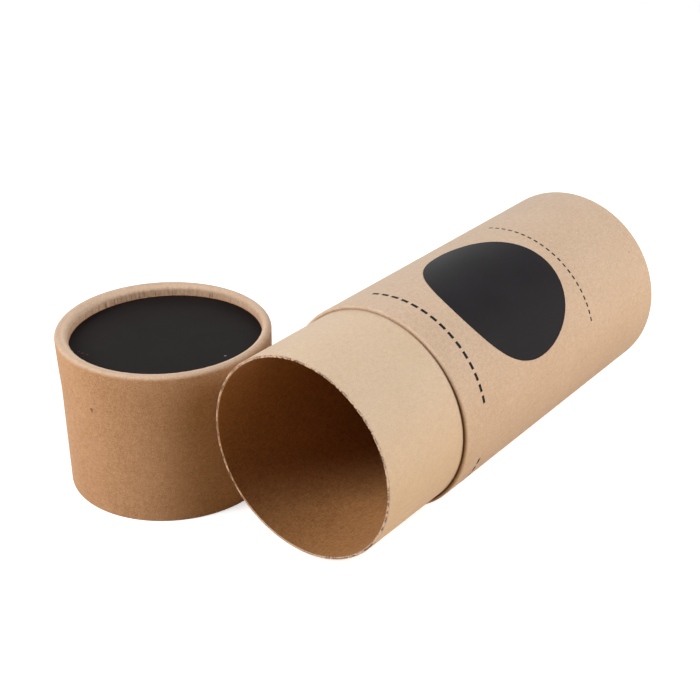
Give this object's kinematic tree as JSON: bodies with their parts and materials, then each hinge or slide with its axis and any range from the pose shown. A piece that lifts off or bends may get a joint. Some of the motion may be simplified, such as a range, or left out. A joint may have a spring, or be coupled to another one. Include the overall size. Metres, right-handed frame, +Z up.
{
  "type": "round kraft paper box",
  "caption": "Round kraft paper tube box, opened: a tube with a pale protruding neck lies beside its standing cap, which has a curled rim round a black disc.",
  "frame": {"origin": "on the ground, under the middle of the tube and the cap together", "axes": "+X along the tube from its mouth to its base, +Y from the tube towards the cap, +Z up"},
  "size_m": [0.2092, 0.1582, 0.0801],
  "materials": {
    "kraft_cap": "matte",
    "kraft_tube": "matte",
    "kraft_liner": "matte",
    "black_card": "matte",
    "black_print": "satin"
  },
  "bodies": {
    "tube": {"outer_tube": "kraft_tube", "inner_tube": "kraft_liner", "base_disc": "kraft_tube", "black_patch": "black_print"},
    "cap": {"cap_sleeve": "kraft_cap", "cap_disc": "black_card"}
  },
  "joints": [
    {"name": "cap_lift", "type": "slide", "parent": "tube", "child": "cap", "axis": [0, 0, 1], "range_m": [0, 0.1]}
  ]
}
